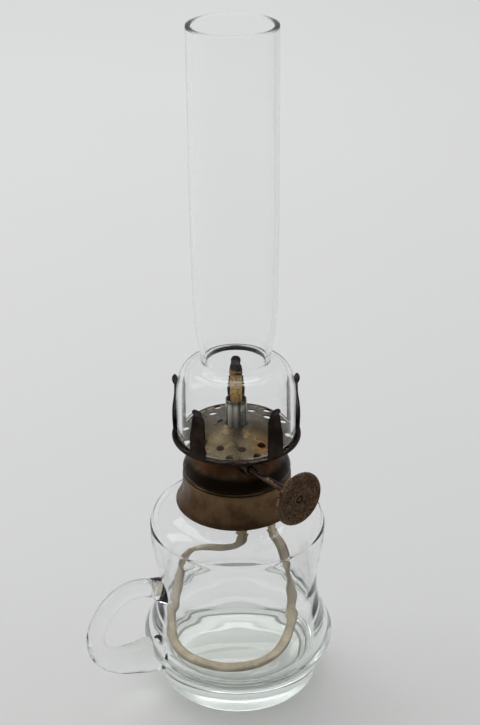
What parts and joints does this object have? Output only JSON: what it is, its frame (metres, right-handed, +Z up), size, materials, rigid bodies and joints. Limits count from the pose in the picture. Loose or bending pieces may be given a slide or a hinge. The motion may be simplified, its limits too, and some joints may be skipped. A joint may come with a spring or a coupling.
{
  "type": "oil lamp",
  "caption": "Small kerosene hand lamp: clear glass font with a loop handle, brass burner with spring gallery, flat wick, knurled winder knob and tall glass chimney.",
  "frame": {"origin": "centre of the glass foot, on the surface it stands on", "axes": "+Z up along the lamp's axis; the handle points towards -X and the winder shaft runs out between +X and -Y"},
  "size_m": [0.0996, 0.0853, 0.2721],
  "materials": {
    "clear_glass": "clear, polished",
    "aged_brass": "browned, half gloss",
    "dark_brass": "blackened",
    "knob_brass": "browned, knurled",
    "tarnished_plate": "tarnished olive grey",
    "tinned_tube": "tinned",
    "plaster": "matt",
    "wick_cotton": "woven"
  },
  "bodies": {
    "root": {"glass_font": "clear_glass", "font_handle": "clear_glass", "neck_collar": "aged_brass", "plaster_bed": "plaster"},
    "burner": {"burner_base": "aged_brass", "burner_drum": "aged_brass", "gallery_ring": "dark_brass", "gallery_plate": "tarnished_plate", "spring_prong_1": "dark_brass", "spring_prong_2": "dark_brass", "spring_prong_3": "dark_brass", "spring_prong_4": "dark_brass", "spring_prong_5": "dark_brass", "wick_tube": "tinned_tube", "raiser_bracket": "dark_brass", "shaft_bush": "dark_brass"},
    "chimney": {"glass_chimney": "clear_glass"},
    "winder": {"winder_shaft": "dark_brass", "spur_wheel_inner": "dark_brass", "spur_wheel_outer": "dark_brass", "knob_disc": "knob_brass", "knob_washer": "dark_brass"},
    "wick": {"wick_strip": "wick_cotton", "wick_tail": "wick_cotton"}
  },
  "joints": [
    {"name": "burner_lift", "type": "slide", "parent": "root", "child": "burner", "axis": [0, 0, 1], "range_m": [0, 0.09]},
    {"name": "chimney_lift", "type": "slide", "parent": "burner", "child": "chimney", "axis": [0, 0, 1], "range_m": [0, 0.045]},
    {"name": "knob_turn", "type": "hinge", "parent": "burner", "child": "winder", "pos_m": [-0.00571, -0.00471, 0.106], "axis": [0.6361, -0.7716, 0], "range_deg": [-160, 60]},
    {"name": "wick_raise", "type": "slide", "parent": "burner", "child": "wick", "axis": [0, 0, 1], "range_m": [-0.01565, 0.00588], "deforming": ["wick_tail"]}
  ],
  "couplings": [
    {"joint": "wick_raise", "follows": "knob_turn", "m_per_rad": 0.0056}
  ]
}
